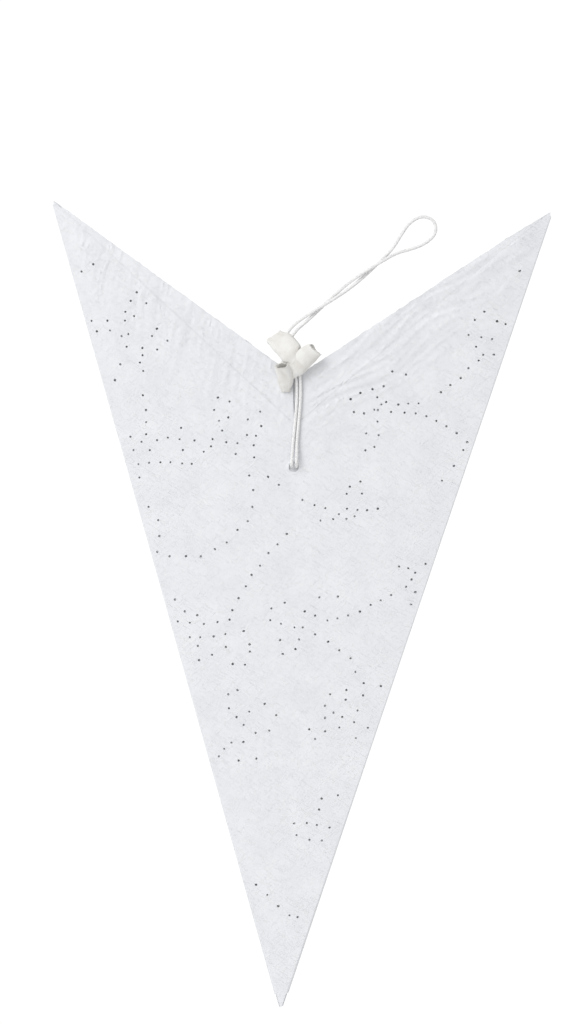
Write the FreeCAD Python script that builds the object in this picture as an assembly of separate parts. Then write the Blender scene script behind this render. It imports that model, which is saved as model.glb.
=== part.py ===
import FreeCAD, Part
import math
import os

from FreeCAD import Placement, Rotation, Vector

# A seven-pointed paper star of doubled panels, folded flat like a fan, with its hanging cord.
# Frame in mm: the origin is the middle of the tie hole on the first panel's outer face, +Z runs
# up the centre crease to the hub line, -Y points out of the first panel, and X spans the stack.
# Every point has a left and a right panel. A panel is creased down its middle into a front
# facet (hub corner at -X) and a back facet (hub corner at +X).

# Panel outline
point_count = 7
hub_half_width = 90.6  # centre crease to a hub corner
point_length = 293.6  # hub line to the tip of a point
valley_depth = 80.2  # hub line to the foot of the valley fold
glue_band = 17.5  # valley foot to the notch, where two panels are glued
hole_from_valley = 15.3  # valley foot to the tie hole
hole_radius = 1.8

# Paper and folds
sheet = 0.3
layer_gap = 0.2  # air, or glue, between one sheet and the next
fold_setback = 0.1  # fold line to a facet's edge, at ridges and centre creases
valley_setback = 0.4  # valley fold line to a left front facet's edge
back_valley_setback = 1.6  # and to a left back facet's, which has no hinge there
glued_flap_setback = 0.8  # valley fold line to a glued flap's edge
closing_flap_setback = 2.0  # valley fold line, and centre crease, to a closing flap's edge
hub_trim = 3.0  # cut off each hub corner, where all the folds meet
tip_trim = 1.5  # cut off each tip

# Hanging cord: one strand that leaves the tie hole, runs to a loop and comes back
cord_diameter = 1.2
cord_route = [
    (-0.85, 0.30, 0.0),
    (-0.85, -2.20, 0.5),
    (-0.85, -2.30, 3.6),
    (-0.70, -0.85, 9.0),
    (-0.05, -0.80, 18.5),
    (0.35, -0.90, 27.5),
    (-0.35, -1.60, 34.8),
    (-3.30, -1.80, 41.0),
    (-5.10, -1.60, 46.4),
    (-2.10, -1.30, 51.0),
    (1.60, -1.20, 54.0),
    (6.60, -2.00, 57.3),
    (11.70, -2.00, 60.5),
    (19.10, -1.20, 65.6),
    (25.70, -0.40, 71.6),
    (30.00, -0.40, 76.0),
    (34.20, -1.10, 80.4),
    (36.90, -1.20, 85.2),
    (39.90, -1.20, 89.9),
    (44.30, -1.20, 92.6),
    (49.00, -1.30, 91.2),
    (50.00, -1.30, 86.5),
    (46.40, -1.20, 82.6),
    (41.00, -1.20, 80.3),
    (35.50, -1.30, 78.8),
    (30.40, -2.00, 75.6),
    (25.30, -2.00, 72.4),
    (17.90, -1.20, 67.2),
    (11.30, -0.40, 61.1),
    (7.10, -0.40, 56.7),
    (2.80, -1.20, 52.6),
    (-0.60, -1.30, 49.6),
    (-3.10, -1.60, 45.4),
    (-1.50, -1.90, 40.8),
    (1.20, -1.70, 35.3),
    (2.05, -0.90, 27.5),
    (1.70, -0.80, 18.5),
    (1.00, -0.85, 9.0),
    (0.85, -2.30, 3.6),
    (0.85, -2.20, 0.5),
    (0.85, 0.30, 0.0),
]
arc_share = 0.45  # of the shorter run beside a point

# Tape knot on the cord: (length, width, thickness), middle, turn from +X in degrees
tape_edge_radius = 1.2
knot_lobes = [
    ((15.5, 7.6, 3.8), (3.2, -2.9, 38.2), 47.0),
    ((11.0, 9.0, 3.4), (-4.8, -2.4, 42.6), -35.0),
    ((11.5, 6.6, 3.6), (-4.2, -2.7, 33.4), -60.0),
]

layer_pitch = sheet + layer_gap
hub_line = valley_depth + hole_from_valley  # height of the hub line above the origin


def on_panel(across, down):
    """A point of the flat panel, as (x, z)."""
    return (across, hub_line - down)


hub_corner = on_panel(-hub_half_width, 0.0)
tip = on_panel(0.0, point_length)
valley_foot = on_panel(0.0, valley_depth)
notch = on_panel(0.0, valley_depth - glue_band)


def keep_side(outline, start, end, setback):
    """Cut a convex outline back from the line start-end, on the side that holds its middle."""
    run = (end[0] - start[0], end[1] - start[1])
    length = math.hypot(*run)
    normal = (-run[1] / length, run[0] / length)
    middle = [sum(p[i] for p in outline) / len(outline) for i in (0, 1)]

    def depth(p):
        return (p[0] - start[0]) * normal[0] + (p[1] - start[1]) * normal[1]

    side = 1.0 if depth(middle) > 0 else -1.0
    kept = []
    for a, b in zip(outline, outline[1:] + outline[:1]):
        da = side * depth(a) - setback
        db = side * depth(b) - setback
        if da >= 0:
            kept.append(a)
        if (da > 0) != (db > 0) and da != db:
            share = da / (da - db)
            kept.append((a[0] + share * (b[0] - a[0]), a[1] + share * (b[1] - a[1])))
    return kept


def facet_outline(foot, folds):
    """A front facet between the hub corner, the tip and a foot on the centre crease."""
    outline = [hub_corner, tip, foot]
    for start, end, setback in folds:
        outline = keep_side(outline, start, end, setback)
    return trim_corners(outline)


def trim_corners(outline):
    """Cut the hub corner and the tip off square."""
    hub_cut = hub_corner[0]
    outline = keep_side(outline, (hub_cut, 0.0), (hub_cut, 1.0), hub_trim)
    return keep_side(outline, (0.0, tip[1]), (1.0, tip[1]), tip_trim)


ridge = (hub_corner, tip, fold_setback)
crease = (tip, notch, fold_setback)


def flap_outline(valley_cut, crease_cut):
    """The margin between a valley fold and the notch, which lies against the next panel."""
    outline = [hub_corner, valley_foot, notch]
    outline = keep_side(outline, hub_corner, valley_foot, valley_cut)
    outline = keep_side(outline, tip, notch, crease_cut)
    return trim_corners(outline)


left_outline = {
    half: facet_outline(valley_foot, [ridge, crease, (hub_corner, valley_foot, setback)])
    for half, setback in (("front", valley_setback), ("back", back_valley_setback))
}
right_outline = facet_outline(notch, [ridge, crease])
glued_outline = flap_outline(glued_flap_setback, fold_setback)
closing_outline = flap_outline(closing_flap_setback, closing_flap_setback)


def plate(outline, layer, half):
    """One sheet of paper in a layer of the stack. The back half mirrors the front half."""
    side = 1.0 if half == "front" else -1.0
    depth = layer * layer_pitch
    corners = [Vector(side * x, depth, z) for x, z in outline]
    return Part.Face(Part.makePolygon(corners + corners[:1])).extrude(Vector(0, sheet, 0))


def tie_hole():
    """The drill, through the whole stack and half its depth beyond each face."""
    depth = point_count * 2 * layer_pitch
    return Part.makeCylinder(hole_radius, 2 * depth, Vector(0, -depth / 2, 0), Vector(0, 1, 0))


def cord_path(points):
    """Straight runs joined by tangent arcs, each as large as its two runs allow."""
    points = [Vector(*p) for p in points]
    runs = [b - a for a, b in zip(points, points[1:])]
    at = points[0]
    edges = []
    radii = []
    for before, corner, after in zip(runs, points[1:], runs[1:]):
        half_turn = before.getAngle(after) / 2
        cut = arc_share * min(before.Length, after.Length)
        radii.append(cut / math.tan(half_turn))
        start = corner - Vector(before).normalize() * cut
        end = corner + Vector(after).normalize() * cut
        inward = (start + end) / 2 - corner
        to_arc = radii[-1] / math.cos(half_turn) - radii[-1]
        edges.append(Part.LineSegment(at, start).toShape())
        middle = corner + inward.normalize() * to_arc
        edges.append(Part.Arc(start, middle, end).toShape())
        at = end
    edges.append(Part.LineSegment(at, points[-1]).toShape())
    return Part.Wire(edges), radii


def cord_tube():
    path, radii = cord_path(cord_route)
    start = Vector(*cord_route[0])
    heading = Vector(*cord_route[1]) - start
    profile = Part.Wire(Part.makeCircle(cord_diameter / 2, start, heading))
    tube = path.makePipeShell([profile], True, False)
    expected = math.pi * (cord_diameter / 2) ** 2 * path.Length
    print("cord radii, in diameters:", [round(r / cord_diameter, 1) for r in radii])
    print(f"cord length {path.Length:.1f} mm, volume {tube.Volume:.2f} of {expected:.2f} mm3")
    return tube


def knot_lobe(size, middle, turn):
    length, width, thickness = size
    lobe = Part.makeBox(length, thickness, width, Vector(-length / 2, -thickness / 2, -width / 2))
    lobe = lobe.makeFillet(tape_edge_radius, lobe.Edges)
    lobe.Placement = Placement(Vector(*middle), Rotation(Vector(0, -1, 0), turn))
    return lobe


def tape_knot():
    lobes = [knot_lobe(*lobe) for lobe in knot_lobes]
    return lobes[0].fuse(lobes[1:]).removeSplitter()


def build():
    parts = {}
    for number in range(1, point_count + 1):
        left_layer = 2 * (number - 1)
        right_layer = left_layer + 1
        for half in ("front", "back"):
            parts[f"point_{number}_left_{half}"] = plate(left_outline[half], left_layer, half)
            parts[f"point_{number}_right_{half}"] = plate(right_outline, right_layer, half)
            if number < point_count:
                flap = plate(glued_outline, right_layer + 1, half)
                parts[f"glued_flap_{number}_{half}"] = flap
            else:
                parts[f"closing_flap_{half}"] = plate(closing_outline, 0, half)
    for name in ("point_1_left", f"point_{point_count}_right"):
        for half in ("front", "back"):
            parts[f"{name}_{half}"] = parts[f"{name}_{half}"].cut(tie_hole())
    parts["hanging_cord"] = cord_tube()
    parts["tape_knot"] = tape_knot()
    return parts


os.makedirs("parts", exist_ok=True)
for name, shape in build().items():
    assert shape.isValid() and shape.Solids, name
    shape.exportStep(f"parts/{name}.step")
    print(f"{name}: {shape.Volume:.1f} mm3")
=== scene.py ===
import math
import random

import bmesh
import bpy
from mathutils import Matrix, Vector, geometry, noise


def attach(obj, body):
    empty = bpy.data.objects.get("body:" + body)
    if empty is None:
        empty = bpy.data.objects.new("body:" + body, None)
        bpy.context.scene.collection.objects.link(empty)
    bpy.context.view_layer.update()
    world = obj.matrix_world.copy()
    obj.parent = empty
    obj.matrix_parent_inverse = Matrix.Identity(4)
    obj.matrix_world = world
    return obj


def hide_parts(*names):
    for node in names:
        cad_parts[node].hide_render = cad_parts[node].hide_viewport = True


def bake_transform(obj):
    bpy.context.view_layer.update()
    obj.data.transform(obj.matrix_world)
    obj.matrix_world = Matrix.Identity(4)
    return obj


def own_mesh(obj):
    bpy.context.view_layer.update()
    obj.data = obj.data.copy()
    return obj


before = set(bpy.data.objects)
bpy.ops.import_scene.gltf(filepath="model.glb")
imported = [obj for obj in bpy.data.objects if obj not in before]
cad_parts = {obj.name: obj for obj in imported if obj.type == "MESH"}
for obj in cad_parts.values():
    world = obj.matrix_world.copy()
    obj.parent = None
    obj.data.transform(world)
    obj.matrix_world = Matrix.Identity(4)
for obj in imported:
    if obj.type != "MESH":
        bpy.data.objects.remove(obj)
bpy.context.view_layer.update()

mm = 0.001
print("frame loaded:", len(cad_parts), "nodes")

# the sheet every panel is cut from, laid out flat: across and down from the hub line, in mm
panel = {
    "points": 7,
    "halfWidth": 90.6,     # centre crease to a hub corner
    "length": 293.6,       # hub line to a tip
    "valleyDepth": 80.2,   # hub line to the foot of the valley fold
    "notchDepth": 62.7,    # hub line to the notch
    "holeDepth": 95.5,     # hub line to the tie hole
    "holeRadius": 1.8,
    "thick": 0.3,
    "pitch": 0.5,          # one layer of the folded stack to the next
    "cornerCut": 90.0,     # how far out a hub corner is cut off
    "tipCut": 292.8,       # and how far down the tip is
    "foldGap": 0.03,       # fold line to the edge of an outer sheet
    "valleyRoom": (0.4, 1.2),  # the same for inner left panels, front and back, so they can swing
    "backReach": 1.4,      # how much further out the back hub corners are, so the opened ridges meet
    "backFade": 12.0,      # how far in from the ridge that dies out
    "creaseHalf": 1.5,     # half the width that bends at the centre crease
    "tipDrift": 0.55,      # how far the tips of the stack stray from each other
    "layerSlip": 0.45,     # how far one layer's dots stray from the next one's
    "layerWarp": 0.8,      # how unevenly they stray
    "warpWave": (0.11, 0.11),  # waves of that to a mm
    "stillAtFold": 5.0,    # how far from a fold they stray in full, and from the centre crease
    "stillAtCrease": 3.0,
    "edgeSlant": (0.82, 0.57),  # cosine and sine of the notch edge's slope
    "valleySlant": 0.7,    # a little under the cosine of the valley's
    "ridgeSlope": 3.4,     # a step in from the ridge, measured down the sheet
}


def place(across, down, depth):
    return Vector((across * mm, depth * mm, (panel["holeDepth"] - down) * mm))


def foldDown(centreDepth, across):
    # how far down a straight fold from the hub corner to the centre crease is
    return centreDepth * (1.0 - abs(across) / panel["halfWidth"])


def newObject(name, mesh):
    piece = bpy.data.objects.new(name, mesh)
    bpy.context.scene.collection.objects.link(piece)
    return piece


def smoothStep(value):
    value = min(1.0, max(0.0, value))
    return value * value * (3.0 - 2.0 * value)


# the camera looks straight at the first panel, from far enough off to flatten it
view = {
    "middle": (-0.00071, -0.0165),
    "distance": 1.4,
    "frameHeight": 0.3735,
    "roll": -0.0236,
    "sensor": 36.0,
}


def setCamera():
    camera = bpy.data.objects.new("camera", bpy.data.cameras.new("camera"))
    bpy.context.scene.collection.objects.link(camera)
    camera.data.sensor_width = view["sensor"]
    camera.data.lens = view["sensor"] * view["distance"] / view["frameHeight"]
    camera.location = (view["middle"][0], -view["distance"], view["middle"][1])
    camera.rotation_euler = (math.radians(90.0), view["roll"], 0.0)
    bpy.context.scene.camera = camera


setCamera()
print("camera set")

black = (0.0, 0.0, 0.0)
white = (1.0, 1.0, 1.0)


def startMaterial(name):
    material = bpy.data.materials.new(name)
    material.use_nodes = True
    nodes = material.node_tree.nodes
    return material, nodes, material.node_tree.links, nodes["Principled BSDF"]


def flatVector(nodes, links, scale, turn=0.0):
    # the place on the flat sheet, so the grain stays put when the sheet is folded
    source = nodes.new("ShaderNodeAttribute")
    source.attribute_name = "flatPlace"
    mapping = nodes.new("ShaderNodeMapping")
    mapping.vector_type = "TEXTURE"
    mapping.inputs["Rotation"].default_value = (0.0, turn, 0.0)
    mapping.inputs["Scale"].default_value = scale
    links.new(source.outputs["Vector"], mapping.inputs["Vector"])
    return mapping.outputs["Vector"]


def noiseNode(nodes, links, vector, scale, detail=3.0, distortion=0.0):
    grain = nodes.new("ShaderNodeTexNoise")
    grain.inputs["Scale"].default_value = scale
    grain.inputs["Detail"].default_value = detail
    grain.inputs["Distortion"].default_value = distortion
    links.new(vector, grain.inputs["Vector"])
    return grain.outputs["Fac"]


def rampNode(nodes, links, value, stops):
    ramp = nodes.new("ShaderNodeValToRGB")
    while len(ramp.color_ramp.elements) < len(stops):
        ramp.color_ramp.elements.new(0.5)
    for element, (at, colour) in zip(ramp.color_ramp.elements, stops):
        element.position = at
        element.color = (*colour, 1.0)
    links.new(value, ramp.inputs["Fac"])
    return ramp.outputs["Color"]


def mixColour(nodes, links, share, first, second, mode="MIX"):
    mix = nodes.new("ShaderNodeMixRGB")
    mix.blend_type = mode
    for socket, value in (("Fac", share), ("Color1", first), ("Color2", second)):
        if isinstance(value, (int, float)):
            mix.inputs[socket].default_value = value
        elif isinstance(value, tuple):
            mix.inputs[socket].default_value = (*value, 1.0)
        else:
            links.new(value, mix.inputs[socket])
    return mix.outputs["Color"]


def mathNode(nodes, links, kind, first, second):
    step = nodes.new("ShaderNodeMath")
    step.operation = kind
    for socket, value in zip(step.inputs, (first, second)):
        if isinstance(value, (int, float)):
            socket.default_value = value
        else:
            links.new(value, socket)
    return step.outputs["Value"]


def bumpOnto(nodes, links, shader, height, strength, distance):
    bump = nodes.new("ShaderNodeBump")
    bump.inputs["Strength"].default_value = strength
    bump.inputs["Distance"].default_value = distance
    links.new(height, bump.inputs["Height"])
    links.new(bump.outputs["Normal"], shader.inputs["Normal"])


def greyRamp(nodes, links, value, low, high):
    # roughness that follows a grain
    return rampNode(nodes, links, value, [(0.3, (low,) * 3), (0.7, (high,) * 3)])


# soft handmade cotton paper: cloudy pulp, long stray fibres at two slants, a fine tooth
paper = {
    "tone": (0.80, 0.812, 0.835),
    "shade": (0.755, 0.768, 0.795),
    "fibreTone": (0.86, 0.865, 0.875),
    "cloudScale": 90.0,
    "fibres": [             # slant, then a fibre's length, depth and width in m
        (0.75, (0.0052, 0.02, 0.0007)),
        (-0.55, (0.0046, 0.02, 0.0006)),
    ],
    "fibreShare": 0.5,
    "toothScale": 1400.0,
    "toothShare": 0.35,
    "pulpScale": 330.0,
    "bumpStrength": 0.9,
    "bumpHeight": 0.00015,
    "roughness": (0.78, 0.95),
    "shine": 0.25,
}


def starPaper():
    material, nodes, links, shader = startMaterial("starPaper")
    flat = flatVector(nodes, links, (1, 1, 1))
    cloud = noiseNode(nodes, links, flat, paper["cloudScale"], 4.0, 0.4)
    tone = rampNode(nodes, links, cloud, [(0.34, paper["shade"]), (0.66, paper["tone"])])
    fibres = []
    for slant, stretch in paper["fibres"]:
        drawn = noiseNode(nodes, links, flatVector(nodes, links, stretch, slant), 1.0, 2.0, 1.8)
        fibres.append(rampNode(nodes, links, drawn, [(0.57, black), (0.70, white)]))
    hair = mixColour(nodes, links, 1.0, fibres[0], fibres[1], "LIGHTEN")
    hairShare = mathNode(nodes, links, "MULTIPLY", hair, paper["fibreShare"])
    tone = mixColour(nodes, links, hairShare, tone, paper["fibreTone"])
    links.new(tone, shader.inputs["Base Color"])
    tooth = noiseNode(nodes, links, flat, paper["toothScale"], 5.0)
    pulp = noiseNode(nodes, links, flat, paper["pulpScale"], 3.0, 0.6)
    height = mathNode(nodes, links, "MULTIPLY", tooth, paper["toothShare"])
    height = mathNode(nodes, links, "ADD", height, pulp)
    height = mathNode(nodes, links, "ADD", height, hairShare)
    bumpOnto(nodes, links, shader, height, paper["bumpStrength"], paper["bumpHeight"])
    rough = greyRamp(nodes, links, tooth, *paper["roughness"])
    links.new(rough, shader.inputs["Roughness"])
    shader.inputs["Specular IOR Level"].default_value = paper["shine"]
    return material


cordYarn = {
    "tone": (0.86, 0.86, 0.85),
    "shade": (0.60, 0.59, 0.62),
    "fuzzScale": 2600.0,
    "bumpStrength": 0.6,
    "bumpHeight": 0.00008,
    "roughness": (0.7, 0.92),
    "sheen": 0.2,
}


def cottonCord():
    material, nodes, links, shader = startMaterial("cottonCord")
    fuzz = noiseNode(nodes, links, flatVector(nodes, links, (1, 1, 1)), cordYarn["fuzzScale"], 3.0)
    tone = rampNode(nodes, links, fuzz, [(0.3, cordYarn["shade"]), (0.55, cordYarn["tone"])])
    links.new(tone, shader.inputs["Base Color"])
    bumpOnto(nodes, links, shader, fuzz, cordYarn["bumpStrength"], cordYarn["bumpHeight"])
    rough = greyRamp(nodes, links, fuzz, *cordYarn["roughness"])
    links.new(rough, shader.inputs["Roughness"])
    shader.inputs["Sheen Weight"].default_value = cordYarn["sheen"]
    return material


# plain weave: two sets of fine threads, one along the tape and one across it
tapeWeave = {
    "tone": (0.81, 0.805, 0.785),
    "shade": (0.73, 0.71, 0.67),
    "threadScale": 520.0,
    "stainScale": 260.0,
    "weaveShare": 0.12,
    "bumpStrength": 0.5,
    "bumpHeight": 0.0001,
    "roughness": (0.62, 0.85),
    "sheen": 0.15,
}


def cottonTape():
    material, nodes, links, shader = startMaterial("cottonTape")
    flat = flatVector(nodes, links, (1, 1, 1))
    threads = []
    for direction in ("X", "Y"):
        wave = nodes.new("ShaderNodeTexWave")
        wave.bands_direction = direction
        wave.inputs["Scale"].default_value = tapeWeave["threadScale"]
        wave.inputs["Distortion"].default_value = 0.6
        wave.inputs["Detail"].default_value = 2.0
        links.new(flat, wave.inputs["Vector"])
        threads.append(wave.outputs["Fac"])
    weave = mathNode(nodes, links, "MULTIPLY", threads[0], threads[1])
    stain = noiseNode(nodes, links, flat, tapeWeave["stainScale"], 3.0, 0.5)
    tone = rampNode(nodes, links, stain, [(0.35, tapeWeave["shade"]), (0.62, tapeWeave["tone"])])
    threadTone = rampNode(nodes, links, weave, [(0, black), (1, white)])
    tone = mixColour(nodes, links, tapeWeave["weaveShare"], tone, threadTone, "SOFT_LIGHT")
    links.new(tone, shader.inputs["Base Color"])
    bumpOnto(nodes, links, shader, weave, tapeWeave["bumpStrength"], tapeWeave["bumpHeight"])
    rough = greyRamp(nodes, links, stain, *tapeWeave["roughness"])
    links.new(rough, shader.inputs["Roughness"])
    shader.inputs["Sheen Weight"].default_value = tapeWeave["sheen"]
    return material


materials = {"star_paper": starPaper(), "cotton_cord": cottonCord(), "cotton_tape": cottonTape()}


def finishPiece(piece, slot, flatPlaces, sharpFrom=35.0):
    mesh = piece.data
    mesh.materials.append(materials[slot])
    layer = mesh.attributes.new("flatPlace", "FLOAT_VECTOR", "POINT")
    layer.data.foreach_set("vector", [value for spot in flatPlaces for value in spot])
    mesh.polygons.foreach_set("use_smooth", [True] * len(mesh.polygons))
    mesh.set_sharp_from_angle(angle=math.radians(sharpFrom))


def meshFrom(name, points, faces):
    mesh = bpy.data.meshes.new(name)
    mesh.from_pydata(points, [], faces)
    work = bmesh.new()
    work.from_mesh(mesh)
    bmesh.ops.recalc_face_normals(work, faces=work.faces)
    work.to_mesh(mesh)
    work.free()
    return newObject(name, mesh)


print("materials made")

# hanging cord: one limp two-ply strand, out of the tie hole, round a loop and back in
hangingCord = {
    "diameter": 1.2,
    "length": 0.235,    # in m, out of the hole and back to it
    "layLength": 3.4,   # one turn of the two plies
    "waist": 0.16,      # how deep the groove between the plies is, of the radius
    "sides": 14,
    "perPoint": 10,     # steps of the smooth line to one point of the route
    "route": [
        (-0.85, 0.30, 0.0),
        (-0.85, -2.20, 0.5),
        (-0.85, -2.30, 3.6),
        (-0.55, -0.85, 9.0),
        (0.20, -0.80, 18.5),
        (0.60, -0.90, 27.5),
        (-0.35, -1.60, 34.8),
        (-3.30, -1.80, 41.0),
        (-5.10, -1.60, 46.4),
        (-2.10, -1.30, 51.0),
        (1.60, -1.20, 54.0),
        (6.60, -2.00, 57.3),
        (11.70, -2.00, 60.5),
        (19.10, -1.20, 65.6),
        (25.70, -0.40, 71.6),
        (30.00, -0.40, 76.0),
        (34.20, -1.10, 80.4),
        (36.90, -1.20, 85.2),
        (39.90, -1.20, 89.9),
        (44.30, -1.20, 92.6),
        (49.00, -1.30, 91.2),
        (50.00, -1.30, 86.5),
        (46.40, -1.20, 82.6),
        (41.00, -1.20, 80.3),
        (35.50, -1.30, 78.8),
        (30.40, -2.00, 75.6),
        (25.30, -2.00, 72.4),
        (17.90, -1.20, 67.2),
        (11.30, -0.40, 61.1),
        (7.10, -0.40, 56.7),
        (2.80, -1.20, 52.6),
        (-0.60, -1.30, 49.6),
        (-3.10, -1.60, 45.4),
        (-1.50, -1.90, 40.8),
        (1.20, -1.70, 35.3),
        (1.90, -0.90, 27.5),
        (1.50, -0.80, 18.5),
        (0.80, -0.85, 9.0),
        (0.85, -2.30, 3.6),
        (0.85, -2.20, 0.5),
        (0.85, 0.30, 0.0),
    ],
}


def splinePoints(route, perPoint):
    # the smooth line that the cord follows, read back from a NURBS spline
    curve = bpy.data.curves.new("cordLine", "CURVE")
    curve.dimensions = "3D"
    spline = curve.splines.new("NURBS")
    spline.points.add(len(route) - 1)
    for point, spot in zip(spline.points, route):
        point.co = (*[value * mm for value in spot], 1.0)
    spline.order_u = 3
    spline.use_endpoint_u = True
    curve.resolution_u = perPoint
    carrier = newObject("cordLine", curve)
    line = bpy.data.meshes.new_from_object(carrier)
    points = [vertex.co.copy() for vertex in line.vertices]
    bpy.data.objects.remove(carrier)
    bpy.data.curves.remove(curve)
    bpy.data.meshes.remove(line)
    return points


def sweepTube(path, sides, radiusAt):
    # rings of points along a path, with a frame carried along so that nothing twists by itself
    points = []
    faces = []
    flatPlaces = []
    headings = []
    for index in range(len(path)):
        before = path[max(0, index - 1)]
        after = path[min(len(path) - 1, index + 1)]
        headings.append((after - before).normalized())
    side = headings[0].orthogonal().normalized()
    travelled = 0.0
    for index, spot in enumerate(path):
        if index:
            travelled += (spot - path[index - 1]).length
            side = headings[index - 1].rotation_difference(headings[index]) @ side
        side = (side - headings[index] * side.dot(headings[index])).normalized()
        other = headings[index].cross(side)
        for step in range(sides):
            turn = 2.0 * math.pi * step / sides
            radius = radiusAt(travelled, turn)
            points.append(spot + (side * math.cos(turn) + other * math.sin(turn)) * radius)
            flatPlaces.append((travelled, math.cos(turn) * radius, math.sin(turn) * radius))
    for ring in range(len(path) - 1):
        for step in range(sides):
            across = (step + 1) % sides
            faces.append((ring * sides + step, ring * sides + across,
                          (ring + 1) * sides + across, (ring + 1) * sides + step))
    faces.append(tuple(range(sides)))
    faces.append(tuple((len(path) - 1) * sides + step for step in range(sides)))
    return points, faces, flatPlaces


def makeCord():
    cfg = hangingCord
    path = splinePoints(cfg["route"], cfg["perPoint"])
    fullRadius = cfg["diameter"] / 2 * mm

    def radiusAt(travelled, turn):
        ply = abs(math.cos(turn - 2.0 * math.pi * travelled / (cfg["layLength"] * mm)))
        return fullRadius * (1.0 - cfg["waist"] * (1.0 - ply) ** 2)

    points, faces, flatPlaces = sweepTube(path, cfg["sides"], radiusAt)
    cord = meshFrom("hangingCord", points, faces)
    finishPiece(cord, "cotton_cord", flatPlaces, 60.0)
    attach(cord, "hanging_loop")
    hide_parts("hanging_cord")
    return cord, path


cord, cordPath = makeCord()
print("hanging cord laid")

# tape knot: soft cotton tape rolled and folded into three lobes
tapeKnot = {
    "wall": 0.45,
    "steps": 44,         # round a lobe's cross-section
    "stations": 36,      # along it
    "taper": 0.26,       # how much smaller the tape winds towards its end
    "ripple": 0.45,      # broad and fine unevenness, in mm
    "pucker": 0.22,
    "lip": 0.9,          # how ragged the two ends are
    "threadGap": 0.5,    # spacing of the weave round a lobe
    "lobes": {
        "knotRightRoll": {
            "size": (13.0, 8.3, 4.9), "middle": (2.0, -2.9, 38.3), "turn": 45.0, "yaw": 8.0,
            "wound": 1.25, "start": 0.10, "nearEnd": 0.66, "farEnd": 0.84, "bow": 0.5, "seed": 3.0,
        },
        "knotUpperFold": {
            "size": (12.2, 10.4, 4.0), "middle": (-4.6, -2.5, 42.9), "turn": -46.0, "yaw": 14.0,
            "wound": 1.10, "start": 0.62, "nearEnd": 0.72, "farEnd": 0.50, "bow": 0.7, "seed": 8.0,
        },
        "knotHeart": {
            "size": (9.0, 6.4, 3.2), "middle": (-1.0, -2.2, 37.6), "turn": 12.0, "yaw": 0.0,
            "wound": 1.05, "start": 0.30, "nearEnd": 0.60, "farEnd": 0.60, "bow": 0.2, "seed": 19.0,
        },
        "knotLowerLoop": {
            "size": (10.6, 6.2, 4.6), "middle": (-4.5, -2.9, 32.3), "turn": 101.0, "yaw": 34.0,
            "wound": 1.15, "start": 0.85, "nearEnd": 0.66, "farEnd": 0.86, "bow": -0.8, "seed": 14.0,
        },
    },
}


def endSqueeze(cfg, share):
    # a lobe is fullest in its middle and drawn in at both ends
    near = 1.0 - (1.0 - cfg["nearEnd"]) * (1.0 - smoothStep(share / 0.4)) ** 1.5
    far = 1.0 - (1.0 - cfg["farEnd"]) * (1.0 - smoothStep((1.0 - share) / 0.3)) ** 1.5
    return near * far


def rollSection(cfg, share, wall):
    # the tape's own cross-section at one place along a lobe: a strip wound into a soft roll
    width, depth = cfg["size"][1:]
    squeeze = endSqueeze(cfg, share)
    outer = []
    inner = []
    for step in range(tapeKnot["steps"] + 1):
        wound = step / tapeKnot["steps"] * cfg["wound"]
        turn = 2.0 * math.pi * (wound + cfg["start"])
        shrink = 1.0 - tapeKnot["taper"] * wound / cfg["wound"]
        ripple = noise.noise(Vector((share * 2.0, turn * 0.7, cfg["seed"]))) * tapeKnot["ripple"]
        pucker = noise.noise(Vector((share * 1.2, turn * 3.2, cfg["seed"] + 4.0)))
        pucker *= tapeKnot["pucker"] * (1.6 - squeeze)
        halfWide = (width / 2 * squeeze + ripple + pucker) * shrink
        halfDeep = (depth / 2 * squeeze ** 0.6 + ripple * 0.6 + pucker) * shrink
        wide = math.copysign(abs(math.cos(turn)) ** 0.85, math.cos(turn)) * halfWide
        deep = math.copysign(abs(math.sin(turn)) ** 0.9, math.sin(turn)) * halfDeep
        reach = math.hypot(wide, deep)
        outer.append((wide, deep))
        inner.append((wide * (1.0 - wall / reach), deep * (1.0 - wall / reach)))
    return outer + inner[::-1]


def makeLobe(name, cfg):
    length = cfg["size"][0]
    stations = tapeKnot["stations"]
    turn = math.radians(cfg["turn"])
    lean = math.radians(cfg["yaw"])
    along = Vector((math.cos(turn) * math.cos(lean), -math.sin(lean), math.sin(turn) * math.cos(lean)))
    wideAxis = Vector((-math.sin(turn), 0.0, math.cos(turn)))
    deepAxis = along.cross(wideAxis).normalized()
    points = []
    faces = []
    flatPlaces = []
    for station in range(stations + 1):
        share = station / stations
        bow = math.sin(math.pi * share)
        heart = Vector(cfg["middle"]) + along * length * (share - 0.5) + wideAxis * bow * cfg["bow"]
        ring = rollSection(cfg, share, tapeKnot["wall"])
        for index, (wide, deep) in enumerate(ring):
            lip = noise.noise(Vector((index * 0.12, cfg["seed"], share * 3.0))) * tapeKnot["lip"]
            lip *= abs(2.0 * share - 1.0) ** 3
            points.append((heart + wideAxis * wide + deepAxis * deep + along * lip) * mm)
            thread = index * tapeKnot["threadGap"]
            flatPlaces.append((share * length * mm, thread * mm, cfg["seed"] * mm))
    size = len(points) // (stations + 1)
    for station in range(stations):
        for index in range(size):
            across = (index + 1) % size
            faces.append((station * size + index, station * size + across,
                          (station + 1) * size + across, (station + 1) * size + index))
    half = size // 2
    for station in (0, stations):
        base = station * size
        for index in range(half - 1):
            faces.append((base + index, base + index + 1,
                          base + size - 2 - index, base + size - 1 - index))
    lobe = meshFrom(name, points, faces)
    finishPiece(lobe, "cotton_tape", flatPlaces, 50.0)
    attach(lobe, "hanging_loop")
    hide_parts("tape_knot")
    return lobe


lobes = [makeLobe(name, cfg) for name, cfg in tapeKnot["lobes"].items()]
print("tape knot tied")

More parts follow.
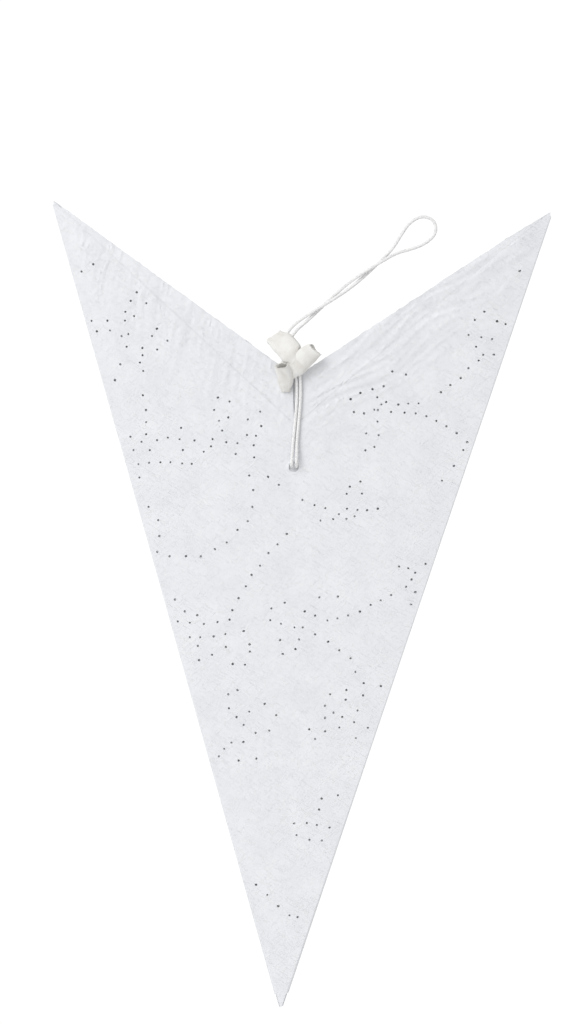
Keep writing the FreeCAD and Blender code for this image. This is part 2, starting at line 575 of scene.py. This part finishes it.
# perforations: trails of punched dots, each a run of evenly spaced holes
punch = {
    "radius": 0.42,
    "radiusRange": (0.88, 1.1),
    "sides": 9,
    "stray": 0.35,      # how far a dot may stray from its trail
    "edgeRoom": 1.6,
    "spare": 1.2,       # how far the paper's own points stay from a dot
    "seeds": (11, 12),
    "trails": [
        # upper left
        (2, (-79, 26), (-75, 23)), (2, (-55, 37), (-59, 42)),
        (5, (-59, 33), (-63, 42), (-62, 48)), (2, (-75, 44), (-69, 44)),
        (3, (-73, 48), (-68, 47), (-64, 49)), (3, (-51, 46), (-54, 49), (-47, 50)),
        (3, (-62, 53), (-56, 53), (-51, 54)), (3, (-56, 56), (-57, 59), (-56, 62)),
        (2, (-64, 60), (-66, 65)),
        # left middle
        (4, (-55, 71), (-54, 85)), (4, (-60, 86), (-55, 88), (-46, 86)),
        (2, (-58, 91), (-53, 91)), (7, (-60, 96), (-53, 95), (-37, 95)),
        (3, (-41, 82), (-42, 86), (-40, 90)), (2, (-36, 87), (-33, 91)),
        (5, (-28, 71), (-29, 75), (-27, 80), (-25, 87)), (2, (-24, 72), (-24, 78)),
        (2, (-30, 86), (-30, 89)), (2, (-21, 87), (-21, 91)),
        (3, (-13, 76), (-17, 79), (-17, 84)), (4, (-12, 81), (-15, 87), (-14, 92)),
        # the long bow under it
        (6, (-56, 101), (-57, 107), (-51, 113), (-48, 118), (-49, 128)),
        (10, (-44, 129), (-33, 129), (-23, 123), (-16, 115), (-14, 105), (-16, 99)),
        # below the tie hole
        (7, (-9, 99), (2, 107), (17, 112)), (4, (20, 110), (26, 111), (31, 110)),
        (2, (11, 115), (15, 114)), (2, (20, 114), (23, 113)),
        (2, (21, 102), (25, 100)), (2, (20, 105), (25, 105)),
        # lower left
        (8, (-2, 120), (-7, 126), (-15, 136), (-21, 148)), (3, (-42, 145), (-38, 149), (-34, 150)),
        (5, (-41, 153), (-30, 153), (-22, 152)), (4, (-36, 159), (-28, 158), (-23, 157)),
        (2, (-17, 156), (-14, 161)), (3, (-33, 162), (-23, 162), (-14, 163)),
        (2, (-32, 167), (-28, 165)), (2, (-21, 168), (-16, 168)),
        # right
        (1, (80, 22)), (2, (68, 37), (65, 40)), (2, (72, 41), (75, 42)),
        (3, (63, 46), (71, 47)), (4, (65, 50), (68, 53), (75, 52)),
        (5, (66, 55), (59, 62), (53, 67)), (2, (35, 60), (40, 61)),
        (4, (32, 65), (25, 67), (20, 70)), (5, (30, 69), (37, 72), (45, 71)),
        (2, (32, 72), (29, 74)), (2, (21, 75), (25, 75)),
        (9, (31, 74), (44, 75), (54, 78), (62, 85)), (3, (61, 88), (58, 93), (54, 99)),
        (3, (30, 78), (26, 83), (26, 89)), (2, (31, 84), (29, 88)),
        # lower middle
        (3, (-2, 145), (-8, 148), (-7, 152)), (3, (-3, 153), (-4, 159), (-2, 164)),
        (3, (2, 154), (3, 158), (2, 162)), (2, (11, 143), (17, 143)),
        (9, (5, 148), (13, 151), (25, 148), (37, 141)), (7, (5, 154), (13, 158), (22, 165), (27, 174)),
        (3, (21, 176), (27, 178), (33, 175)), (3, (15, 178), (24, 181), (25, 184)),
        (4, (13, 183), (19, 186), (24, 188)), (2, (13, 187), (19, 190)),
        (3, (8, 191), (15, 192), (11, 195)), (3, (29, 190), (25, 195), (29, 199)),
        # lower right
        (5, (39, 131), (45, 133), (42, 138)), (4, (45, 140), (43, 146), (42, 155)), (1, (48, 130)),
        # lower points
        (4, (-18, 178), (-22, 180), (-22, 184), (-19, 187)), (3, (-14, 185), (-8, 182), (-4, 186)),
        (2, (-16, 190), (-12, 193)), (3, (-23, 199), (-20, 196), (-16, 196)),
        (3, (-25, 202), (-16, 204), (-11, 202)), (1, (-6, 192)),
        (2, (13, 216), (19, 215)), (2, (12, 220), (22, 221)), (4, (3, 226), (10, 225), (16, 227)),
        (4, (4, 230), (12, 232), (19, 230)), (3, (-10, 248), (-6, 252), (-2, 256)),
        (2, (2, 259), (5, 260)),
    ],
}


def alongTrail(corners, count):
    # evenly spaced dots along straight runs
    corners = [Vector(corner) for corner in corners]
    if count == 1:
        return corners
    runs = [(b - a).length for a, b in zip(corners, corners[1:])]
    dots = []
    for index in range(count):
        left = sum(runs) * index / (count - 1)
        for start, end, run in zip(corners, corners[1:], runs):
            if left <= run + 1e-6:
                dots.append(start.lerp(end, left / run))
                break
            left -= run
    return dots


def edgeRoom(dot):
    # the least distance from a dot to a fold, the centre crease or the tie hole
    reach = math.hypot(panel["halfWidth"], panel["length"])
    ridge = (foldDown(panel["length"], dot.x) - dot.y) * panel["halfWidth"] / reach
    valley = (dot.y - foldDown(panel["valleyDepth"], dot.x)) * panel["valleySlant"]
    hole = math.hypot(dot.x, dot.y - panel["holeDepth"]) - 2.0 * panel["holeRadius"]
    return min(ridge, valley, abs(dot.x), hole)


def punchedDots():
    rng = random.Random(punch["seeds"][0])
    dots = []
    for count, *corners in punch["trails"]:
        for dot in alongTrail(corners, count):
            stray = Vector((rng.uniform(-1, 1), rng.uniform(-1, 1))) * punch["stray"]
            if edgeRoom(dot + stray) > punch["edgeRoom"]:
                dots.append(dot + stray)
    return dots


dots = punchedDots()


def ringAround(middle, radius, sides, turn=0.0):
    return [
        (middle[0] + radius * math.cos(turn + 2.0 * math.pi * step / sides),
         middle[1] + radius * math.sin(turn + 2.0 * math.pi * step / sides))
        for step in range(sides)
    ]


def dotRings():
    rng = random.Random(punch["seeds"][1])
    rings = []
    for dot in dots:
        radius = punch["radius"] * rng.uniform(*punch["radiusRange"])
        rings.append(ringAround(dot, radius, punch["sides"], rng.random()))
    return rings


# spacing of the points along an edge, and how far a torn edge wanders
edge = {"ridgeStep": 7.0, "valleyStep": 2.0, "tornStep": 1.6, "torn": 0.30}


def edgeRun(start, end, step, torn=0.0, seed=0.0):
    # points from start up to end, straight or slightly torn
    start = Vector(start)
    end = Vector(end)
    count = max(1, round((end - start).length / step))
    normal = Vector((-(end - start).y, (end - start).x)).normalized()
    spots = []
    for index in range(count):
        spot = start.lerp(end, index / count)
        if torn and index:
            wander = noise.noise(Vector((spot.x * 0.55, spot.y * 0.55, seed)))
            wander += 0.6 * noise.noise(Vector((spot.x * 1.9, spot.y * 1.9, seed + 5.0)))
            spot = spot + normal * wander * torn
        spots.append(tuple(spot))
    return spots


def sheetOutline(topDepth, gapsBelow, torn, seed):
    # a whole panel: down one ridge to the tip, up the other, and back along its top edge
    cut = panel["cornerCut"]
    frontGap, backGap = gapsBelow
    tipHalf = panel["halfWidth"] * (1.0 - panel["tipCut"] / panel["length"])
    ridgeDown = foldDown(panel["length"], cut) - panel["foldGap"] * panel["ridgeSlope"]
    topDown = foldDown(topDepth, cut)
    outline = [(-cut, topDown + frontGap)]
    outline += edgeRun((-cut, ridgeDown), (-tipHalf, panel["tipCut"]), edge["ridgeStep"])
    outline.append((-tipHalf, panel["tipCut"]))
    outline += edgeRun((tipHalf, panel["tipCut"]), (cut, ridgeDown), edge["ridgeStep"])
    outline.append((cut, ridgeDown))
    backFoot = (0.0, topDepth + backGap)
    frontFoot = (0.0, topDepth + frontGap)
    outline += edgeRun((cut, topDown + backGap), backFoot, edge["tornStep"], torn, seed)
    if backGap > frontGap:
        outline.append(backFoot)
    outline += edgeRun(frontFoot, outline[0], edge["tornStep"], torn, seed + 1.0)
    return outline


# the margins above the valley fold: six glued behind a panel, and the closing flaps left free
margin = {
    "cornerCut": 85.0,
    "foldGap": 1.1,       # valley fold to a glued margin
    "shortBy": 0.4,       # how far a glued margin stays below the notch edge
    "firstRow": 1.5,
    "closingCut": 87.0,
    "closingFold": 0.03,  # valley fold to a closing flap
    "footGap": 0.3,       # centre crease to a closing flap, at the fold and at the notch
    "notchGap": 1.3,
    "closingTorn": 1.3,   # its edge is more ragged than the others
    "pressed": 0.28,      # what is left of its thickness once it is pressed flat
}


def marginOutline(seed):
    # the glued margin: both sides of the notch, from the valley fold to the edge
    cut = margin["cornerCut"]
    low = panel["valleyDepth"] - margin["foldGap"]
    high = panel["notchDepth"] + margin["shortBy"]
    lowDown = foldDown(low, cut)
    highDown = foldDown(high, cut)
    outline = edgeRun((-cut, lowDown), (0.0, low), edge["ridgeStep"])
    outline += edgeRun((0.0, low), (cut, lowDown), edge["ridgeStep"])
    outline.append((cut, lowDown))
    outline += edgeRun((cut, highDown), (0.0, high), edge["tornStep"], edge["torn"], seed)
    outline += edgeRun((0.0, high), (-cut, highDown), edge["tornStep"], edge["torn"], seed + 1.0)
    return outline


def closingOutline(side, seed):
    # one half of that margin, on the first panel, free to swing
    cut = margin["closingCut"]
    low = panel["valleyDepth"] - margin["closingFold"]
    high = panel["notchDepth"]
    foot = (side * margin["footGap"], foldDown(low, margin["footGap"]))
    notch = (side * margin["notchGap"], foldDown(high, margin["notchGap"]))
    corner = (side * cut, foldDown(high, cut))
    torn = edge["torn"] * margin["closingTorn"]
    outline = edgeRun((side * cut, foldDown(low, cut)), foot, edge["valleyStep"])
    outline += edgeRun(foot, notch, edge["valleyStep"])
    outline += edgeRun(notch, corner, edge["tornStep"], torn, seed)
    outline.append(corner)
    return outline


# relief of the outer sheets, in mm proud of the stack
relief = {
    "band": (0.62, 0.95),      # wrinkles left and right, where the glue has pulled the paper
    "bandStart": 8.0,          # how far below the notch edge they begin to die out, and have done
    "bandReach": 30.0,
    "leftCrest": (0.70, 0.026),    # waves to a mm, across the wrinkles and along them
    "leftSoft": (1.40, 0.050),
    "rightCrest": (0.42, 0.028),
    "rightSoft": (0.95, 0.050),
    "crumple": (0.05, 0.16),   # height, and waves to a mm
    "swell": (0.30, 0.028),
    "rim": (0.28, 0.35, 0.5),  # lip round the tie hole: height, place and width
    "ridgeFade": 8.0,          # how far from a ridge and from the crease it is in full
    "creaseFade": 7.0,
    "creaseKeep": 0.12,
    "flatReach": 10.0,         # the same below the last panel's margin, which stays flat
}

# how closely the points of a sheet are set
weave = {
    "coarse": 6.5,
    "columns": 14,
    "creaseRow": 3.0,
    "creaseShares": (-1.0, -0.5, 0.0, 0.5, 1.0),
    "fine": 0.47,              # across the wrinkles
    "slow": 1.5,               # and along them
    "leftDown": 120.0,         # how far down and across the fine part goes on the left
    "leftAcross": 90,
    "rightStart": 51.4,        # and where it lies across the notch edge's slope on the right
    "rightColumns": (-70, 80),
    "rimRings": (2.1, 2.5, 3.0, 3.6),
    "seed": 21,
}


def foldRoom(across, down):
    reach = math.hypot(panel["halfWidth"], panel["length"])
    return (foldDown(panel["length"], across) - down) * panel["halfWidth"] / reach


def belowNotch(across, down):
    return (down - foldDown(panel["notchDepth"], across)) * panel["edgeSlant"][0]


def waves(across, along, frequency, seed):
    return noise.noise(Vector((across * frequency[0], along * frequency[1], seed)))


def wrinkleAt(across, down, seed):
    # near-vertical wrinkles on the left, and on the right streaks that follow the notch edge
    if across < 0:
        over = across + down * 0.12 + waves(across, down, (0.07, 0.05), seed + 1.0) * 2.0
        crest = waves(over, down, relief["leftCrest"], seed)
        soft = waves(over, down, relief["leftSoft"], seed + 3.0)
        height = relief["band"][0]
    else:
        cosine, sine = panel["edgeSlant"]
        along = across * cosine - down * sine
        over = across * sine + down * cosine
        over += waves(along, over, (0.03, 0.05), seed) * 5.0
        crest = waves(over, along, relief["rightCrest"], seed)
        soft = waves(over, along, relief["rightSoft"], seed + 3.0)
        height = relief["band"][1]
    sharp = max(0.0, 1.0 - 2.0 * abs(crest)) ** 2
    return height * (0.5 * sharp + 0.5 * (0.5 + 0.5 * soft))


def softHill(across, down, size, seed):
    height, frequency = size
    return height * (0.5 + 0.5 * waves(across, down, (frequency, frequency), seed))


def reliefAt(across, down, seed):
    fade = (belowNotch(across, down) - relief["bandStart"]) / (relief["bandReach"] - relief["bandStart"])
    height = wrinkleAt(across, down, seed) * (1.0 - smoothStep(fade))
    height += softHill(across, down, relief["crumple"], seed + 7.0)
    height += softHill(across, down, relief["swell"], seed + 9.0)
    inward = smoothStep(foldRoom(across, down) / relief["ridgeFade"])
    keep = relief["creaseKeep"]
    crease = keep + (1.0 - keep) * smoothStep(abs(across - 0.6) / relief["creaseFade"])
    rimHeight, rimPlace, rimWidth = relief["rim"]
    hole = math.hypot(across, down - panel["holeDepth"]) - panel["holeRadius"]
    rim = rimHeight * math.exp(-((hole - rimPlace) / rimWidth) ** 2)
    return height * inward * crease + rim


def leftFinePoints(rng):
    fine = weave["fine"]
    slow = weave["slow"]
    spots = []
    for row in range(int(weave["leftDown"] / slow)):
        for column in range(-int(weave["leftAcross"] / fine), 0):
            spot = (column * fine + rng.uniform(-0.1, 0.1), row * slow + rng.uniform(-0.4, 0.4))
            if belowNotch(*spot) < relief["bandReach"]:
                spots.append(spot)
    return spots


def rightFinePoints(rng):
    # a grid that lies along the notch edge
    fine = weave["fine"]
    start = weave["rightStart"]
    cosine, sine = panel["edgeSlant"]
    spots = []
    for row in range(int((relief["bandReach"] + start) / fine)):
        for column in range(*weave["rightColumns"]):
            along = column * weave["slow"] + rng.uniform(-0.4, 0.4)
            over = row * fine + start + rng.uniform(-0.1, 0.1)
            spot = (along * cosine + over * sine, over * cosine - along * sine)
            if spot[0] > 0.0 and belowNotch(*spot) < relief["bandReach"]:
                spots.append(spot)
    return spots


def innerPoints(inside, finePart):
    # a coarse grid everywhere, a fine one where the wrinkles are, and columns at the crease
    rng = random.Random(weave["seed"])
    spots = []
    coarse = weave["coarse"]
    for row in range(int(panel["length"] / coarse)):
        for column in range(-weave["columns"], weave["columns"] + 1):
            spots.append((column * coarse + rng.uniform(-1, 1), row * coarse + rng.uniform(-1, 1)))
    for row in range(int(panel["length"] / weave["creaseRow"])):
        for share in weave["creaseShares"]:
            spots.append((share * panel["creaseHalf"], row * weave["creaseRow"]))
    if finePart:
        spots += leftFinePoints(rng) + rightFinePoints(rng)
        for radius in weave["rimRings"]:
            spots += ringAround((0.0, panel["holeDepth"]), radius, 24)
    return [spot for spot in spots if inside(*spot)]


def cutSheet(outline, rings, inner):
    points = [Vector(spot) for spot in outline]
    edges = [(index, (index + 1) % len(points)) for index in range(len(points))]
    ringOf = {}
    for number, ring in enumerate(rings):
        first = len(points)
        points += [Vector(spot) for spot in ring]
        edges += [(first + index, first + (index + 1) % len(ring)) for index in range(len(ring))]
        ringOf.update({first + index: number for index in range(len(ring))})
    points += [Vector(spot) for spot in inner]
    flat = geometry.delaunay_2d_cdt(points, edges, [], 1, 1e-4)
    rings = [ringOf.get(origin[0], -1 - index) for index, origin in enumerate(flat[3])]
    triangles = [face for face in flat[2] if len({rings[corner] for corner in face}) > 1]
    used = sorted({corner for face in triangles for corner in face})
    renumber = {old: new for new, old in enumerate(used)}
    spots = [tuple(flat[0][old]) for old in used]
    return spots, [tuple(renumber[corner] for corner in face) for face in triangles]


def backShift(across, down):
    # the back facets stop a degree short of closing, and a little more paper at their ridges makes up for it
    near = max(0.0, 1.0 - foldRoom(across, down) / panel["backFade"])
    return panel["backReach"] * max(0.0, across) / panel["halfWidth"] * near


def tipShiftOf(pointNumber):
    drift = random.Random(40 + pointNumber)
    return Vector((drift.uniform(-1, 1), drift.uniform(-0.8, 0.8))) * panel["tipDrift"]


def makeSheet(name, cut, layer, pointNumber, outward=0):
    # two faces and the cut edges between them
    spots, triangles = cut
    slip = random.Random(60 + layer)
    slipped = Vector((slip.uniform(-1, 1), slip.uniform(-1, 1))) * panel["layerSlip"]
    tipShift = tipShiftOf(pointNumber)
    bottom = layer * panel["pitch"]
    points = []
    flatPlaces = []
    for face in (0, 1):
        for across, down in spots:
            proud = reliefAt(across, down, 30.0 + layer) if outward else 0.0
            if outward > 0:
                # flat where the closing flaps come to lie
                proud *= smoothStep((down - foldDown(panel["valleyDepth"], across)) / relief["flatReach"])
            depth = bottom + face * panel["thick"] + outward * proud
            flatPlaces.append((across * mm, layer * 0.05 + face * 0.02, down * mm))
            # nothing moves along the folds, and the paper between them is a little out of step
            loose = smoothStep(foldRoom(across, down) / panel["stillAtFold"])
            loose *= smoothStep(abs(across) / panel["stillAtCrease"])
            loose *= smoothStep((down - foldDown(panel["valleyDepth"], across)) / panel["stillAtFold"])
            pull = (down / panel["length"]) ** 2
            wander = Vector((waves(across, down, panel["warpWave"], layer * 7.3),
                             waves(across, down, panel["warpWave"], layer * 7.3 + 40.0)))
            shift = (slipped + wander * panel["layerWarp"]) * loose + tipShift * pull
            points.append(place(across + shift.x + backShift(across, down), down + shift.y, depth))
    count = len(spots)
    sides = {}
    for a, b, c in triangles:
        for pair in ((a, b), (b, c), (c, a)):
            key = tuple(sorted(pair))
            sides[key] = None if key in sides else pair
    faces = [(a, c, b) for a, b, c in triangles]
    faces += [(a + count, b + count, c + count) for a, b, c in triangles]
    faces += [(p[0], p[1], p[1] + count, p[0] + count) for p in sides.values() if p]
    sheet = meshFrom(name, points, faces)
    finishPiece(sheet, "star_paper", flatPlaces)
    return sheet


def bendAtCrease(sheet):
    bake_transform(sheet)


# how far the inner points of a mesh stay from its edges
meshRoom = {"edge": 0.5, "top": 0.8, "hole": 0.15, "flap": 0.7, "slit": 0.4}


def clearOfDots(across, down):
    return all(abs(across - dot.x) + abs(down - dot.y) > punch["spare"] for dot in dots)


def insidePanel(topDepth):
    def inside(across, down):
        fromHole = math.hypot(across, down - panel["holeDepth"]) - panel["holeRadius"]
        return (foldRoom(across, down) > meshRoom["edge"]
                and down < panel["tipCut"] - meshRoom["edge"]
                and abs(across) < panel["cornerCut"] - meshRoom["edge"]
                and down > foldDown(topDepth, across) + meshRoom["top"]
                and fromHole > meshRoom["hole"]
                and clearOfDots(across, down))
    return inside


def makePanels():
    rings = dotRings()
    tieHole = ringAround((0.0, panel["holeDepth"]), panel["holeRadius"], 36)
    cuts = {}
    for side, top, torn in (("left", panel["valleyDepth"], 0.0),
                            ("right", panel["notchDepth"], edge["torn"])):
        for outer in (False, True):
            gaps = (0.0, 0.0)
            if side == "left":
                gaps = (panel["foldGap"],) * 2 if outer else panel["valleyRoom"]
            outline = sheetOutline(top, gaps, torn, 3.0 + 4.0 * outer)
            inner = innerPoints(insidePanel(top + max(gaps)), outer)
            holes = rings + [tieHole] if outer else rings
            cuts[side, outer] = cutSheet(outline, holes, inner)
    last = panel["points"]
    for number in range(1, last + 1):
        for side, layer in (("left", 2 * number - 2), ("right", 2 * number - 1)):
            outward = -1 if layer == 0 else 1 if layer == 2 * last - 1 else 0
            cut = cuts[side, outward != 0]
            sheet = makeSheet(f"point{number}_{side}Panel", cut, layer, number, outward)
            bendAtCrease(sheet)
            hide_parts(f"point_{number}_{side}_front", f"point_{number}_{side}_back")


ridgeBead = {"radius": 0.37, "sides": 10, "step": 6.0}


def makeRidgeFolds():
    # the rounded edge of the doubled paper, which lies on the fold's own axis
    for number in range(1, panel["points"] + 1):
        layer = 2 * number - 2
        depth = layer * panel["pitch"] + (panel["pitch"] + panel["thick"]) / 2
        tipShift = tipShiftOf(number)
        for half, side in (("front", -1), ("back", 1)):
            start = (side * panel["cornerCut"], foldDown(panel["length"], panel["cornerCut"]))
            path = []
            for across, down in edgeRun(start, (0.0, panel["length"]), ridgeBead["step"]):
                shift = tipShift * (down / panel["length"]) ** 2
                path.append(place(across + shift.x + backShift(across, down), down + shift.y, depth))
            points, faces, flatPlaces = sweepTube(path, ridgeBead["sides"],
                                                  lambda travelled, turn: ridgeBead["radius"] * mm)
            fold = meshFrom(f"point{number}_ridgeFold_{half}", points, faces)
            finishPiece(fold, "star_paper", flatPlaces, 60.0)
            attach(fold, f"left_{half}_{number}")


def makeMargins():
    for number in range(1, panel["points"]):
        top = panel["notchDepth"] + margin["firstRow"]
        columns = [(share * panel["creaseHalf"], top + weave["creaseRow"] * row)
                   for share in weave["creaseShares"] for row in range(5)]
        cut = cutSheet(marginOutline(50.0 + number), [], columns)
        sheet = makeSheet(f"glueMargin{number}", cut, 2 * number, number)
        bendAtCrease(sheet)
        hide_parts(f"glued_flap_{number}_front", f"glued_flap_{number}_back")


def makeClosingFlaps():
    def insideFlap(across, down):
        return (down > foldDown(panel["notchDepth"], across) + meshRoom["flap"]
                and down < foldDown(panel["valleyDepth"], across) - meshRoom["flap"]
                and margin["notchGap"] + meshRoom["slit"] < abs(across) < margin["cornerCut"])

    spots = innerPoints(insideFlap, True)
    for half, side in (("front", -1), ("back", 1)):
        inner = [spot for spot in spots if spot[0] * side > 0]
        cut = cutSheet(closingOutline(side, 70.0 + side), [], inner)
        sheet = makeSheet(f"closingFlap_{half}", cut, 0, 1, -1)
        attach(sheet, f"closing_flap_{half}")
        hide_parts(f"closing_flap_{half}")
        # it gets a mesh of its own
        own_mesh(sheet)


makePanels()
makeRidgeFolds()
makeMargins()
makeClosingFlaps()
print("paper folded:", len(dots), "dots a panel")

# floor, light and backdrop
studio = {
    "floorDown": -0.30,
    "floorRadius": 0.60,
    "floorTone": (0.95, 0.95, 0.95),
    "floorGlow": 0.12,     # keeps the floor near white
    "worldLight": 0.65,
    "backdropLight": 1.05,
    "keyPower": 13.5,
    "keySize": 0.95,
    "keyFrom": (-0.84, -1.02, 0.86),
}


def makeFloor():
    work = bmesh.new()
    bmesh.ops.create_circle(work, cap_ends=True, segments=96, radius=studio["floorRadius"])
    mesh = bpy.data.meshes.new("floor")
    work.to_mesh(mesh)
    work.free()
    floor = newObject("floor", mesh)
    floor.location.z = studio["floorDown"]
    material, _, _, shader = startMaterial("floorPlain")
    shader.inputs["Base Color"].default_value = (*studio["floorTone"], 1.0)
    shader.inputs["Roughness"].default_value = 0.9
    shader.inputs["Emission Color"].default_value = (1.0, 1.0, 1.0, 1.0)
    shader.inputs["Emission Strength"].default_value = studio["floorGlow"]
    mesh.materials.append(material)


def makeLights():
    world = bpy.data.worlds.new("studio")
    world.use_nodes = True
    bpy.context.scene.world = world
    nodes = world.node_tree.nodes
    links = world.node_tree.links
    background = nodes["Background"]
    background.inputs["Color"].default_value = (1.0, 1.0, 1.0, 1.0)
    background.inputs["Strength"].default_value = studio["worldLight"]
    backdrop = nodes.new("ShaderNodeBackground")
    backdrop.inputs["Strength"].default_value = studio["backdropLight"]
    seen = nodes.new("ShaderNodeLightPath")
    mix = nodes.new("ShaderNodeMixShader")
    links.new(seen.outputs["Is Camera Ray"], mix.inputs["Fac"])
    links.new(background.outputs["Background"], mix.inputs[1])
    links.new(backdrop.outputs["Background"], mix.inputs[2])
    links.new(mix.outputs["Shader"], nodes["World Output"].inputs["Surface"])
    backdrop.inputs["Color"].default_value = (1.0, 1.0, 1.0, 1.0)
    key = bpy.data.lights.new("keyLight", "AREA")
    key.energy = studio["keyPower"]
    key.size = studio["keySize"]
    lamp = bpy.data.objects.new("keyLight", key)
    lamp.location = studio["keyFrom"]
    lamp.rotation_euler = Vector(studio["keyFrom"]).to_track_quat("Z", "Y").to_euler()
    bpy.context.scene.collection.objects.link(lamp)


makeFloor()
makeLights()
bpy.context.scene.view_settings.view_transform = "Standard"
print("studio set")
